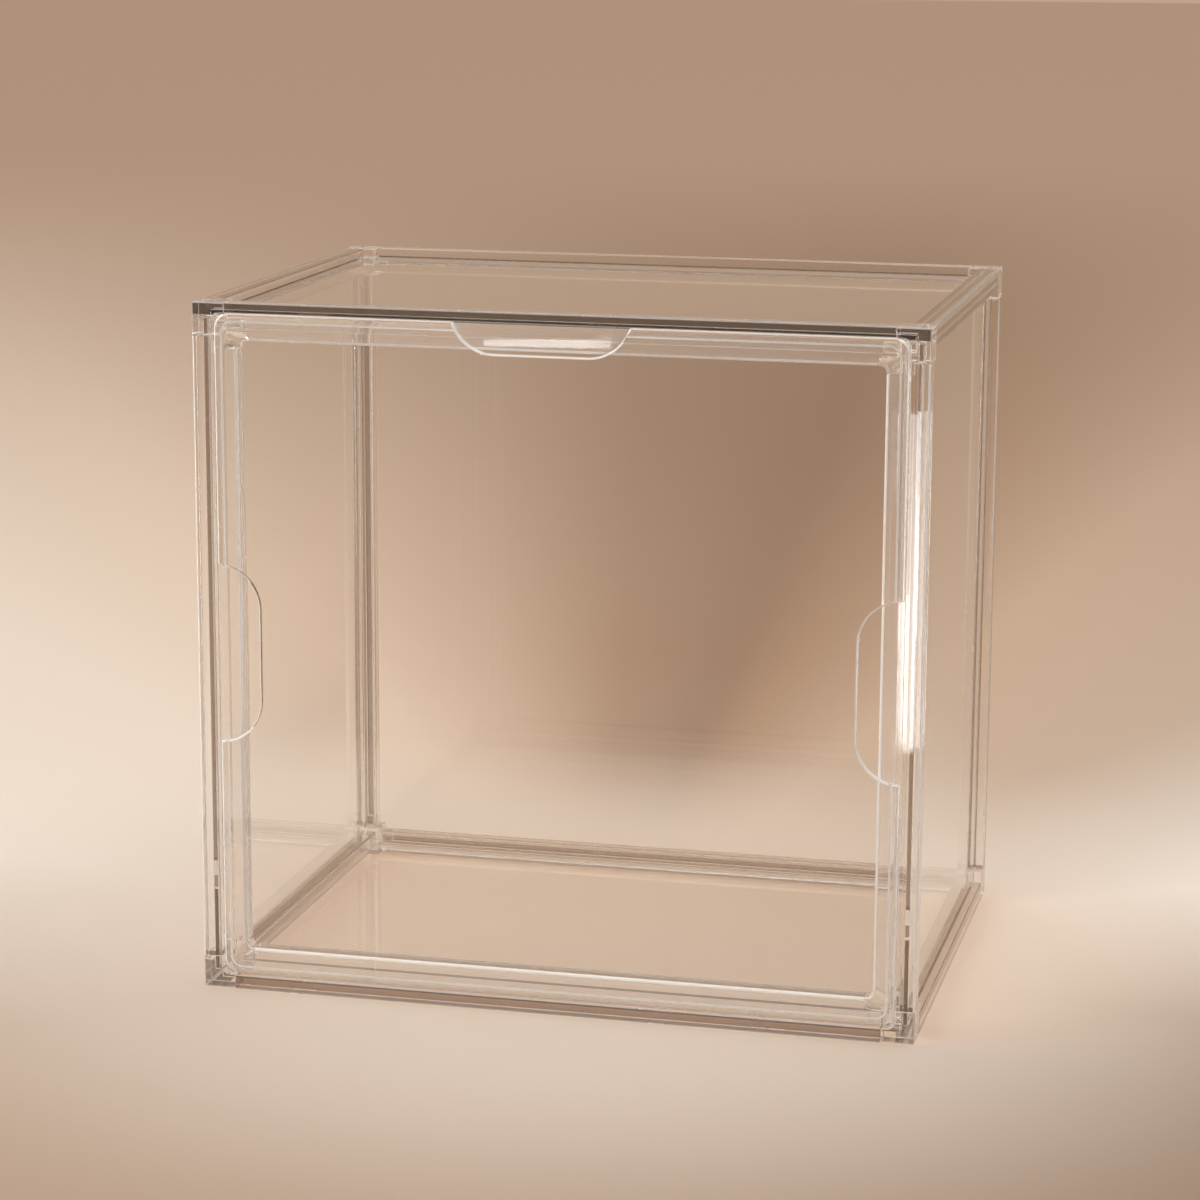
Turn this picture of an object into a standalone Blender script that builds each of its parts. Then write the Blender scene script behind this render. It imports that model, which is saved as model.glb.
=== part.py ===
"""Clear plastic storage box with a pull-off front door.

Twelve hollow rails and posts are pushed onto the pegs of eight three-way corners. Sheet panels stand in
grooves of the rails on five sides, and the front holds a door plate in a rebate, against a ledge, with three
finger cut-outs to pull it off by. X runs to the right, Y to the back and Z up, and the origin lies on the
floor under the middle of the box. Lengths are in metres.
"""

import math

import bmesh
import bpy

# Driving dimensions of the whole box
BOX_WIDTH = 0.340
BOX_DEPTH = 0.245
BOX_HEIGHT = 0.327
FIT_GAP = 0.0003

# Rail section: a hollow inner body and two outer lips, joined by a web beside the panel grooves
PANEL_THICKNESS = 0.0018
LIP_WALL = 0.0039
WEB_THICKNESS = 0.0012
PANEL_HOLD = 0.0025
BORE_SIDE = 0.0052
BORE_WALL = 0.00125
OUTER_FILLET = 0.0010
LIP_FILLET = 0.0005
INNER_FILLET = 0.0006
FILLET_STEPS = 4
SMALL_FILLET_STEPS = 2

# Corner connectors
CORNER_STEP = 0.0015
PEG_LENGTH = 0.0070
PEG_ROOT = 0.0020
PEG_NOSE = 0.0018
PEG_NOSE_STEPS = 3

# Door and the rebate that holds it
DOOR_THICKNESS = 0.0031
DOOR_RECESS = 0.0016
DOOR_SIDE_CLEARANCE = 0.0007
DOOR_CORNER_RADIUS = 0.0070
DOOR_SLOPE_WIDTH = 0.0032
DOOR_SLOPE_DEPTH = 0.0010
DOOR_SLOPE_RADIUS = 0.0058
DOOR_CORNER_STEPS = 8
DOOR_EDGE_ROUNDING = 0.0009
DOOR_EDGE_STEPS = 3
DOOR_LINE_WIDTH = 0.0010
DOOR_LINE_DEPTH = 0.0005
SIDE_FACE = 0.0090
TOP_FACE = 0.0048
BOTTOM_FACE = 0.0068
FACE_CORNER_RADIUS = 0.0040
SIDE_SHELF = 0.0062
TOP_SHELF = 0.0040
BOTTOM_SHELF = 0.0054
LEDGE_CORNER_RADIUS = 0.0030
LEDGE_CORNER_TAIL = 0.0004
LEDGE_ROOT = 0.0030

# Finger cut-outs and friction ribs of the door
GRIP_LENGTH = 0.0836
GRIP_RADIUS = 0.0200
GRIP_STEPS = 12
SIDE_GRIP_DEPTH = 0.0200
SIDE_GRIP_DROP = 0.0020
TOP_GRIP_DEPTH = 0.0140
TOP_GRIP_SHIFT = -0.0060
RIB_LENGTH = 0.0060
RIB_RADIUS = 0.0009
RIB_SIDES = 16
RIB_FROM_END = 0.0160

CUT_OVERRUN = 0.0020

# Edges and clear plastics
ROUND_PROFILE = 0.5
ROUNDED_EDGE_DEGREES = 60
SMOOTH_LIMIT_DEGREES = 40
PLASTIC_IOR = 1.58
MOULDED_COLOUR = (0.95, 0.95, 0.94, 1)
SHEET_COLOUR = (0.97, 0.97, 0.96, 1)
MOULDED_ROUGHNESS = 0.03
SHEET_ROUGHNESS = 0.02

# Sizes that follow from the ones above
GROOVE_WIDTH = PANEL_THICKNESS + FIT_GAP + FIT_GAP
GROOVE_INNER = LIP_WALL + GROOVE_WIDTH
GROOVE_FLOOR = GROOVE_INNER + WEB_THICKNESS
LIP_REACH = GROOVE_FLOOR + PANEL_HOLD
RAIL_SECTION = GROOVE_INNER + BORE_WALL + BORE_SIDE + BORE_WALL
BORE_CENTRE = (GROOVE_INNER + RAIL_SECTION) / 2
CORNER_SIZE = RAIL_SECTION + CORNER_STEP
RAIL_START = CORNER_SIZE + FIT_GAP
PEG_SIDE = BORE_SIDE - FIT_GAP - FIT_GAP
REBATE_DEPTH = DOOR_RECESS + DOOR_THICKNESS + FIT_GAP
SIDE_LEDGE = RAIL_SECTION + SIDE_SHELF
LEDGE_CORNER_ARM = LEDGE_CORNER_RADIUS + LEDGE_CORNER_TAIL
PANEL_INSET = GROOVE_FLOOR + FIT_GAP
RIB_STAND_OUT = DOOR_SIDE_CLEARANCE - FIT_GAP

X, Y, Z = range(3)
LEFT, RIGHT = -1, 1
FRONT, BACK = -1, 1
BOTTOM, TOP = -1, 1
SIDE_WORDS = {X: {LEFT: "left", RIGHT: "right"},
              Y: {FRONT: "front", BACK: "back"},
              Z: {BOTTOM: "bottom", TOP: "top"}}
BOX_LOW = (-BOX_WIDTH / 2, -BOX_DEPTH / 2, 0)
BOX_HIGH = (BOX_WIDTH / 2, BOX_DEPTH / 2, BOX_HEIGHT)
FACE_WIDTH = {TOP: TOP_FACE, BOTTOM: BOTTOM_FACE}
LEDGE_REACH = {TOP: RAIL_SECTION + TOP_SHELF, BOTTOM: RAIL_SECTION + BOTTOM_SHELF}


def inward(axis, side, distance):
    """World coordinate at a distance inwards from the box's outer face on one side of an axis."""
    if side < 0:
        return BOX_LOW[axis] + distance
    return BOX_HIGH[axis] - distance


def rounded(corners):
    """Outline from (a, b, radius, steps) corners, with an arc of that radius at each corner that has one."""
    outline = []
    count = len(corners)
    for index, (a, b, radius, steps) in enumerate(corners):
        if not radius:
            outline.append((a, b))
            continue
        before = corners[index - 1]
        after = corners[(index + 1) % count]
        to_before = unit(before[0] - a, before[1] - b)
        to_after = unit(after[0] - a, after[1] - b)
        opening = math.acos(max(-1, min(1, to_before[0] * to_after[0] + to_before[1] * to_after[1])))
        tangent = radius / math.tan(opening / 2)
        middle = unit(to_before[0] + to_after[0], to_before[1] + to_after[1])
        reach = radius / math.sin(opening / 2)
        centre = (a + middle[0] * reach, b + middle[1] * reach)
        first = (a + to_before[0] * tangent - centre[0], b + to_before[1] * tangent - centre[1])
        last = (a + to_after[0] * tangent - centre[0], b + to_after[1] * tangent - centre[1])
        turn = math.pi - opening
        if first[0] * last[1] - first[1] * last[0] < 0:
            turn = -turn
        for step in range(steps + 1):
            angle = turn * step / steps
            cosine = math.cos(angle)
            sine = math.sin(angle)
            outline.append((centre[0] + first[0] * cosine - first[1] * sine,
                            centre[1] + first[0] * sine + first[1] * cosine))
    return outline


def unit(a, b):
    """Direction of a 2-D vector."""
    length = math.hypot(a, b)
    return a / length, b / length


def new_object(name, mesh_data):
    """Mesh object in the scene from a bmesh, with its normals made consistent and pointing out."""
    bmesh.ops.recalc_face_normals(mesh_data, faces=mesh_data.faces)
    mesh = bpy.data.meshes.new(name)
    mesh_data.to_mesh(mesh)
    mesh_data.free()
    piece = bpy.data.objects.new(name, mesh)
    bpy.context.scene.collection.objects.link(piece)
    return piece


def extruded(name, points, shift):
    """Solid made by extruding the flat face through the given 3-D points by a vector."""
    shape = bmesh.new()
    face = shape.faces.new([shape.verts.new(point) for point in points])
    region = bmesh.ops.extrude_face_region(shape, geom=[face])
    moved = [item for item in region["geom"] if isinstance(item, bmesh.types.BMVert)]
    bmesh.ops.translate(shape, verts=moved, vec=shift)
    return new_object(name, shape)


def edge_prism(name, outline, run, sides, start, end):
    """Prism along one edge of the box.

    sides holds two (axis, side) pairs, which name the two outer faces that meet at that edge. The outline's
    (a, b) are distances inwards from them, in the same order. start and end are distances inwards along the
    run axis, from its low and its high face.
    """
    (a_axis, a_side), (b_axis, b_side) = sides
    low = inward(run, -1, start)
    high = inward(run, 1, end)
    points = []
    for a, b in outline:
        point = [0, 0, 0]
        point[a_axis] = inward(a_axis, a_side, a)
        point[b_axis] = inward(b_axis, b_side, b)
        point[run] = low
        points.append(point)
    shift = [0, 0, 0]
    shift[run] = high - low
    return extruded(name, points, shift)


def block(name, low, high):
    """Rectangular block between two opposite corners, given as world coordinates in any order."""
    lows = [min(pair) for pair in zip(low, high)]
    highs = [max(pair) for pair in zip(low, high)]
    points = [(lows[X], lows[Y], lows[Z]), (highs[X], lows[Y], lows[Z]),
              (highs[X], highs[Y], lows[Z]), (lows[X], highs[Y], lows[Z])]
    return extruded(name, points, (0, 0, highs[Z] - lows[Z]))


def corner_block(name, sides, lows, highs):
    """Block at a corner of the box, between two triples of distances inwards from its outer faces."""
    low = [inward(axis, sides[axis], lows[axis]) for axis in (X, Y, Z)]
    high = [inward(axis, sides[axis], highs[axis]) for axis in (X, Y, Z)]
    return block(name, low, high)


def apply_modifiers(piece):
    """Makes the evaluated shape of a piece its own mesh."""
    graph = bpy.context.evaluated_depsgraph_get()
    result = bpy.data.meshes.new_from_object(piece.evaluated_get(graph))
    piece.modifiers.clear()
    old = piece.data
    piece.data = result
    bpy.data.meshes.remove(old)
    result.name = piece.name


def combine(piece, tool, operation):
    """Applies a Boolean of the tool to the piece, and removes the tool."""
    modifier = piece.modifiers.new(operation.lower(), "BOOLEAN")
    modifier.operation = operation
    modifier.solver = "EXACT"
    modifier.object = tool
    apply_modifiers(piece)
    tool_mesh = tool.data
    bpy.data.objects.remove(tool)
    bpy.data.meshes.remove(tool_mesh)


def finish(piece, material):
    """Gives the piece its material and shades it smooth up to its real edges."""
    piece.data.materials.clear()
    piece.data.materials.append(material)
    piece.data.shade_smooth()
    piece.data.set_sharp_from_angle(angle=math.radians(SMOOTH_LIMIT_DEGREES))


def clear_plastic(name, colour, roughness):
    """Clear moulded plastic: a Principled material that lets light through."""
    material = bpy.data.materials.new(name)
    material.use_nodes = True
    shader = material.node_tree.nodes["Principled BSDF"]
    shader.inputs["Base Color"].default_value = colour
    shader.inputs["Metallic"].default_value = 0
    shader.inputs["Roughness"].default_value = roughness
    shader.inputs["IOR"].default_value = PLASTIC_IOR
    shader.inputs["Transmission Weight"].default_value = 1
    return material


def groove_side(reach):
    """The part of a rail's outline from the inner body's far edge, along its groove, to the outer lip."""
    return [(reach, RAIL_SECTION, INNER_FILLET, SMALL_FILLET_STEPS),
            (GROOVE_INNER, RAIL_SECTION, INNER_FILLET, SMALL_FILLET_STEPS),
            (GROOVE_INNER, GROOVE_FLOOR, 0, 0),
            (LIP_WALL, GROOVE_FLOOR, 0, 0),
            (LIP_WALL, LIP_REACH, LIP_FILLET, SMALL_FILLET_STEPS),
            (0, LIP_REACH, LIP_FILLET, SMALL_FILLET_STEPS)]


def panel_rail_outline():
    """Section of a rail between two panels: a groove for each, and a hollow inner body."""
    corners = [(0, 0, OUTER_FILLET, FILLET_STEPS),
               (LIP_REACH, 0, LIP_FILLET, SMALL_FILLET_STEPS),
               (LIP_REACH, LIP_WALL, LIP_FILLET, SMALL_FILLET_STEPS),
               (GROOVE_FLOOR, LIP_WALL, 0, 0),
               (GROOVE_FLOOR, GROOVE_INNER, 0, 0),
               (RAIL_SECTION, GROOVE_INNER, INNER_FILLET, SMALL_FILLET_STEPS)]
    return rounded(corners + groove_side(RAIL_SECTION))


def door_rail_outline(face, ledge):
    """Section of a rail beside the door: a narrow front face, a rebate before a ledge, and one groove."""
    corners = [(0, 0, OUTER_FILLET, FILLET_STEPS),
               (face, 0, LIP_FILLET, SMALL_FILLET_STEPS),
               (face, REBATE_DEPTH, 0, 0),
               (ledge, REBATE_DEPTH, INNER_FILLET, SMALL_FILLET_STEPS)]
    return rounded(corners + groove_side(ledge))


def bore(piece, run, sides):
    """Cuts the square bore for the corner pegs right through a rail."""
    near = BORE_CENTRE - BORE_SIDE / 2
    far = BORE_CENTRE + BORE_SIDE / 2
    outline = [(near, near), (far, near), (far, far), (near, far)]
    start = RAIL_START - CUT_OVERRUN
    combine(piece, edge_prism("bore", outline, run, sides, start, start), "DIFFERENCE")


def panel_rail(name, run, sides):
    """Hollow rail with two panel grooves along one edge of the box."""
    piece = edge_prism(name, panel_rail_outline(), run, sides, RAIL_START, RAIL_START)
    bore(piece, run, sides)
    return piece


def door_rail(name, run, sides, face, ledge, ledge_ends):
    """Hollow rail beside the door, whose ledge stops short of the rounded ledge corners at both ends."""
    piece = edge_prism(name, door_rail_outline(face, ledge), run, sides, RAIL_START, RAIL_START)
    bore(piece, run, sides)
    over = ledge + CUT_OVERRUN
    strip = [(RAIL_SECTION, REBATE_DEPTH - CUT_OVERRUN), (over, REBATE_DEPTH - CUT_OVERRUN),
             (over, RAIL_SECTION + CUT_OVERRUN), (RAIL_SECTION, RAIL_SECTION + CUT_OVERRUN)]
    outside = RAIL_START - CUT_OVERRUN
    length = BOX_HIGH[run] - BOX_LOW[run]
    low_end, high_end = ledge_ends
    combine(piece, edge_prism("low end", strip, run, sides, outside, length - low_end), "DIFFERENCE")
    combine(piece, edge_prism("high end", strip, run, sides, length - high_end, outside), "DIFFERENCE")
    return piece


def ledge_end(reach):
    """Distance from the outer face at which a rail's ledge stops, past a crossing ledge's rounded corner."""
    return reach + LEDGE_CORNER_ARM + FIT_GAP


def peg(sides, run):
    """Square peg with a rounded nose, from inside the corner block out along one axis."""
    half = PEG_SIDE / 2
    low = [BORE_CENTRE - half] * 3
    high = [BORE_CENTRE + half] * 3
    low[run] = CORNER_SIZE - PEG_ROOT
    high[run] = CORNER_SIZE + PEG_LENGTH
    piece = corner_block("peg", sides, low, high)
    shape = bmesh.new()
    shape.from_mesh(piece.data)
    tip = inward(run, sides[run], high[run])
    near_tip = PEG_ROOT / 2
    nose = [edge for edge in shape.edges if all(abs(vert.co[run] - tip) < near_tip for vert in edge.verts)]
    bmesh.ops.bevel(shape, geom=nose, offset=PEG_NOSE, segments=PEG_NOSE_STEPS, profile=ROUND_PROFILE,
                    affect="EDGES")
    shape.to_mesh(piece.data)
    shape.free()
    return piece


def panel_slot(axis, side):
    """Room for one panel between the corners: a slab as wide as the groove, up to the groove floors."""
    low = [0, 0, 0]
    high = [0, 0, 0]
    for across in (X, Y, Z):
        low[across] = inward(across, -1, GROOVE_FLOOR)
        high[across] = inward(across, 1, GROOVE_FLOOR)
    low[axis] = inward(axis, side, LIP_WALL)
    high[axis] = inward(axis, side, GROOVE_INNER)
    return block("slot", low, high)


def door_opening():
    """Room for the door: a slab in front of the ledge with the rounded corners of the front faces."""
    left = inward(X, LEFT, SIDE_FACE)
    right = inward(X, RIGHT, SIDE_FACE)
    bottom = inward(Z, BOTTOM, BOTTOM_FACE)
    top = inward(Z, TOP, TOP_FACE)
    radius = FACE_CORNER_RADIUS
    outline = rounded([(left, bottom, radius, FILLET_STEPS), (right, bottom, radius, FILLET_STEPS),
                       (right, top, radius, FILLET_STEPS), (left, top, radius, FILLET_STEPS)])
    start = inward(Y, FRONT, -CUT_OVERRUN)
    return extruded("door opening", [(x, start, z) for x, z in outline], (0, REBATE_DEPTH + CUT_OVERRUN, 0))


def ledge_corner(sides):
    """Rounded inside corner of the door ledge, as deep as the rails and rooted in the corner block."""
    level = LEDGE_REACH[sides[Z]]
    clear = RAIL_SECTION + FIT_GAP
    root = CORNER_SIZE - LEDGE_ROOT
    edge = CORNER_SIZE - CORNER_STEP / 2
    corners = [(root, root, 0, 0), (edge, root, 0, 0), (edge, clear, 0, 0),
               (SIDE_LEDGE + LEDGE_CORNER_ARM, clear, 0, 0), (SIDE_LEDGE + LEDGE_CORNER_ARM, level, 0, 0),
               (SIDE_LEDGE, level, LEDGE_CORNER_RADIUS, FILLET_STEPS),
               (SIDE_LEDGE, level + LEDGE_CORNER_ARM, 0, 0), (clear, level + LEDGE_CORNER_ARM, 0, 0),
               (clear, edge, 0, 0), (root, edge, 0, 0)]
    start = inward(Y, FRONT, REBATE_DEPTH)
    points = [(inward(X, sides[X], a), start, inward(Z, sides[Z], c)) for a, c in rounded(corners)]
    return extruded("ledge corner", points, (0, RAIL_SECTION - REBATE_DEPTH, 0))


def corner(name, sides):
    """Three-way corner: a block with rounded outer edges, three pegs, and slots for its panels."""
    piece = corner_block(name, sides, (0, 0, 0), (CORNER_SIZE, CORNER_SIZE, CORNER_SIZE))
    shape = bmesh.new()
    shape.from_mesh(piece.data)
    tip = [inward(axis, sides[axis], 0) for axis in (X, Y, Z)]
    half = CORNER_SIZE / 2
    outer = [edge for edge in shape.edges
             if any(all(abs(vert.co[axis] - tip[axis]) < half for axis in (X, Y, Z)) for vert in edge.verts)]
    bmesh.ops.bevel(shape, geom=outer, offset=OUTER_FILLET, segments=FILLET_STEPS, profile=ROUND_PROFILE,
                    affect="EDGES")
    shape.to_mesh(piece.data)
    shape.free()
    for run in (X, Y, Z):
        combine(piece, peg(sides, run), "UNION")
    combine(piece, panel_slot(Z, sides[Z]), "DIFFERENCE")
    combine(piece, panel_slot(X, sides[X]), "DIFFERENCE")
    if sides[Y] == FRONT:
        combine(piece, door_opening(), "DIFFERENCE")
        combine(piece, ledge_corner(sides), "UNION")
    else:
        combine(piece, panel_slot(Y, BACK), "DIFFERENCE")
    return piece


def panel(name, axis, side):
    """Sheet panel that stands in the grooves of the rails around it."""
    low = [inward(across, -1, PANEL_INSET) for across in (X, Y, Z)]
    high = [inward(across, 1, PANEL_INSET) for across in (X, Y, Z)]
    low[axis] = inward(axis, side, LIP_WALL + FIT_GAP)
    high[axis] = inward(axis, side, LIP_WALL + FIT_GAP + PANEL_THICKNESS)
    return block(name, low, high)


def door_edges():
    """Left, right, bottom and top edge of the door plate, as world coordinates."""
    side = SIDE_FACE + DOOR_SIDE_CLEARANCE
    return (inward(X, LEFT, side), inward(X, RIGHT, side),
            inward(Z, BOTTOM, BOTTOM_FACE + FIT_GAP), inward(Z, TOP, TOP_FACE + FIT_GAP))


def plate_outline(inset, radius):
    """Rounded outline of the door plate, drawn in by an inset."""
    left, right, bottom, top = door_edges()
    steps = DOOR_CORNER_STEPS
    return rounded([(left + inset, bottom + inset, radius, steps),
                    (right - inset, bottom + inset, radius, steps),
                    (right - inset, top - inset, radius, steps),
                    (left + inset, top - inset, radius, steps)])


def door_plate():
    """Door plate with a straight edge at the back and a slope round the front, bridged ring by ring."""
    front = inward(Y, FRONT, DOOR_RECESS)
    shoulder = front + DOOR_SLOPE_DEPTH
    back = front + DOOR_THICKNESS
    rings = [(back, 0, DOOR_CORNER_RADIUS), (shoulder, 0, DOOR_CORNER_RADIUS),
             (front, DOOR_SLOPE_WIDTH, DOOR_SLOPE_RADIUS)]
    shape = bmesh.new()
    loops = []
    for y, inset, radius in rings:
        verts = [shape.verts.new((x, y, z)) for x, z in plate_outline(inset, radius)]
        loops.append([shape.edges.new((verts[i - 1], verts[i])) for i in range(len(verts))])
        if y != shoulder:
            shape.faces.new(verts)
    bmesh.ops.bridge_loops(shape, edges=loops[0] + loops[1])
    bmesh.ops.bridge_loops(shape, edges=loops[1] + loops[2])
    return new_object("door", shape)


def line_cutter():
    """Cutter for the line drawn round the door's front, along the inner edge of its sloped rim."""
    front = inward(Y, FRONT, DOOR_RECESS)
    above = front - CUT_OVERRUN
    half = DOOR_LINE_WIDTH / 2
    wide = half * (CUT_OVERRUN + DOOR_LINE_DEPTH) / DOOR_LINE_DEPTH
    rings = [(above, -wide), (front + DOOR_LINE_DEPTH, 0), (above, wide)]
    shape = bmesh.new()
    loops = []
    for y, shift in rings:
        outline = plate_outline(DOOR_SLOPE_WIDTH + half + shift, DOOR_SLOPE_RADIUS - half - shift)
        verts = [shape.verts.new((x, y, z)) for x, z in outline]
        loops.append([shape.edges.new((verts[i - 1], verts[i])) for i in range(len(verts))])
    for index in range(len(loops)):
        bmesh.ops.bridge_loops(shape, edges=loops[index - 1] + loops[index])
    return new_object("line", shape)


def grip_cutter(depth, place):
    """Cutter for a finger cut-out: a tongue with rounded corners that reaches depth into the door.

    place turns (along the edge, in from the edge) into the door's X and Z.
    """
    half = GRIP_LENGTH / 2
    outline = rounded([(-half, -GRIP_RADIUS, 0, 0), (half, -GRIP_RADIUS, 0, 0),
                       (half, depth, GRIP_RADIUS, GRIP_STEPS), (-half, depth, GRIP_RADIUS, GRIP_STEPS)])
    start = inward(Y, FRONT, -CUT_OVERRUN)
    points = []
    for along, into in outline:
        x, z = place(along, into)
        points.append((x, start, z))
    return extruded("grip", points, (0, CUT_OVERRUN + REBATE_DEPTH + CUT_OVERRUN, 0))


def friction_rib(edge, inwards, z_middle):
    """Half-round rib on a side edge of the door, which rubs on the post beside it and holds the door in."""
    centre_x = edge + inwards * (RIB_RADIUS - RIB_STAND_OUT)
    centre_y = inward(Y, FRONT, DOOR_RECESS + (DOOR_SLOPE_DEPTH + DOOR_THICKNESS) / 2)
    turn = math.tau / RIB_SIDES
    points = [(centre_x + RIB_RADIUS * math.cos(turn * step), centre_y + RIB_RADIUS * math.sin(turn * step),
               z_middle - RIB_LENGTH / 2) for step in range(RIB_SIDES)]
    return extruded("rib", points, (0, 0, RIB_LENGTH))


def cut_grips(piece):
    """Cuts the finger cut-outs into the left, right and top edge of the door plate."""
    left, right, bottom, top = door_edges()
    level = (bottom + top) / 2 - SIDE_GRIP_DROP
    places = [(SIDE_GRIP_DEPTH, lambda along, into: (left + into, level + along)),
              (SIDE_GRIP_DEPTH, lambda along, into: (right - into, level + along)),
              (TOP_GRIP_DEPTH, lambda along, into: (TOP_GRIP_SHIFT + along, top - into))]
    for depth, place in places:
        combine(piece, grip_cutter(depth, place), "DIFFERENCE")


def door():
    """Pull-off door: the plate, its finger cut-outs, rounded edges, drawn line and friction ribs."""
    piece = door_plate()
    cut_grips(piece)
    softened = piece.modifiers.new("rounded edges", "BEVEL")
    softened.width = DOOR_EDGE_ROUNDING
    softened.segments = DOOR_EDGE_STEPS
    softened.limit_method = "ANGLE"
    softened.angle_limit = math.radians(ROUNDED_EDGE_DEGREES)
    apply_modifiers(piece)
    combine(piece, line_cutter(), "DIFFERENCE")
    left, right, bottom, top = door_edges()
    for z_middle in (bottom + RIB_FROM_END, top - RIB_FROM_END):
        combine(piece, friction_rib(left, 1, z_middle), "UNION")
        combine(piece, friction_rib(right, -1, z_middle), "UNION")
    return piece


def build_rails(material):
    """The twelve rails and posts, one along each edge of the box."""
    for z_side in (BOTTOM, TOP):
        level = SIDE_WORDS[Z][z_side]
        side_end = ledge_end(SIDE_LEDGE)
        front = door_rail("rail_front_" + level, X, ((Z, z_side), (Y, FRONT)), FACE_WIDTH[z_side],
                          LEDGE_REACH[z_side], (side_end, side_end))
        finish(front, material)
        finish(panel_rail("rail_back_" + level, X, ((Z, z_side), (Y, BACK))), material)
        for x_side in (LEFT, RIGHT):
            name = "rail_" + SIDE_WORDS[X][x_side] + "_" + level
            finish(panel_rail(name, Y, ((Z, z_side), (X, x_side))), material)
    for x_side in (LEFT, RIGHT):
        word = SIDE_WORDS[X][x_side]
        ends = (ledge_end(LEDGE_REACH[BOTTOM]), ledge_end(LEDGE_REACH[TOP]))
        front = door_rail("post_front_" + word, Z, ((X, x_side), (Y, FRONT)), SIDE_FACE, SIDE_LEDGE, ends)
        finish(front, material)
        finish(panel_rail("post_back_" + word, Z, ((X, x_side), (Y, BACK))), material)


def build_corners(material):
    """The eight three-way corners."""
    for y_side in (FRONT, BACK):
        for z_side in (BOTTOM, TOP):
            for x_side in (LEFT, RIGHT):
                words = (SIDE_WORDS[Y][y_side], SIDE_WORDS[Z][z_side], SIDE_WORDS[X][x_side])
                finish(corner("corner_" + "_".join(words), {X: x_side, Y: y_side, Z: z_side}), material)


def build_panels(material):
    """The five sheet panels."""
    for name, axis, side in (("panel_top", Z, TOP), ("panel_bottom", Z, BOTTOM), ("panel_left", X, LEFT),
                             ("panel_right", X, RIGHT), ("panel_back", Y, BACK)):
        finish(panel(name, axis, side), material)


def main():
    """Builds the whole box in an empty scene."""
    for old in list(bpy.data.objects):
        bpy.data.objects.remove(old)
    moulded = clear_plastic("clear_moulded_plastic", MOULDED_COLOUR, MOULDED_ROUGHNESS)
    sheet = clear_plastic("clear_sheet_plastic", SHEET_COLOUR, SHEET_ROUGHNESS)
    build_rails(moulded)
    build_corners(moulded)
    build_panels(sheet)
    finish(door(), sheet)


main()
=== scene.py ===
"""Dresses the clear plastic display box for a studio picture.

The box is a cage of clear rails and posts on eight corner connectors, with clear sheets in the rails' grooves
and a clear front door that pulls off by its finger cut-outs. The rails and posts are moulded bars with one
section all along, the corner connectors are moulded blocks with pegs, and the sheets and the door are cut and
moulded plates. Lengths are in metres.
"""

from __future__ import annotations

import logging
import math
from dataclasses import dataclass
from enum import Enum

import bmesh
import bpy
from bmesh.types import BMesh, BMFace
from bpy.types import ID, Material, Mesh, Node, NodeOutputs, NodeSocket, NodeTree, Object
from mathutils import Matrix, Vector

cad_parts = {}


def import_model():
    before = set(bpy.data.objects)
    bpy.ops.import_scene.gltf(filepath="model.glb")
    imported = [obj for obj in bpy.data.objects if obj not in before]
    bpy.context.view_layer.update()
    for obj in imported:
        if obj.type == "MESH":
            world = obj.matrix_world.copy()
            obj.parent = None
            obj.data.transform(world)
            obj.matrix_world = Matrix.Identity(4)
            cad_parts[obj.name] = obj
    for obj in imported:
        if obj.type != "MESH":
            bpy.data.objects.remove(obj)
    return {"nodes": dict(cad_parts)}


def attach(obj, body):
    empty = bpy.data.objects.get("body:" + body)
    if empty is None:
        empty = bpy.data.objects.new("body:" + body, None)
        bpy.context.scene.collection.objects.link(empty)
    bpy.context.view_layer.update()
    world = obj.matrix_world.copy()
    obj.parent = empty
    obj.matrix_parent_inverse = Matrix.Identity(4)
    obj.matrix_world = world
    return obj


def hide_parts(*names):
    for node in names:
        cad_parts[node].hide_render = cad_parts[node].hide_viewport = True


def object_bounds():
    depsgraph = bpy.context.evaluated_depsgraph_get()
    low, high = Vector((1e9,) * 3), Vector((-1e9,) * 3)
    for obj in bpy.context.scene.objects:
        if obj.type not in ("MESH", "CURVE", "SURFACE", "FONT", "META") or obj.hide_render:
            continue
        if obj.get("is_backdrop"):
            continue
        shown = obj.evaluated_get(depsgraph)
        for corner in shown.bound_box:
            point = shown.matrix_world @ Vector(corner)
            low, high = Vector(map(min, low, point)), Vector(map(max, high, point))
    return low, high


log = logging.getLogger("display_box")

FLAT_PART = 0.99

Colour = tuple[float, float, float]
Place = tuple[float, float, float]
Side = tuple[int, int]


class Run(Enum):
    """The way a bar runs: its axis."""

    WIDTH = 0
    DEPTH = 1
    HEIGHT = 2


class Grain(Enum):
    """How the marks of the mould are drawn out along a piece: what each direction is multiplied by."""

    WIDTH = (0.008, 1.0, 1.0)
    DEPTH = (1.0, 0.008, 1.0)
    HEIGHT = (1.0, 1.0, 0.008)
    EVEN = (1.0, 1.0, 1.0)


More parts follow.
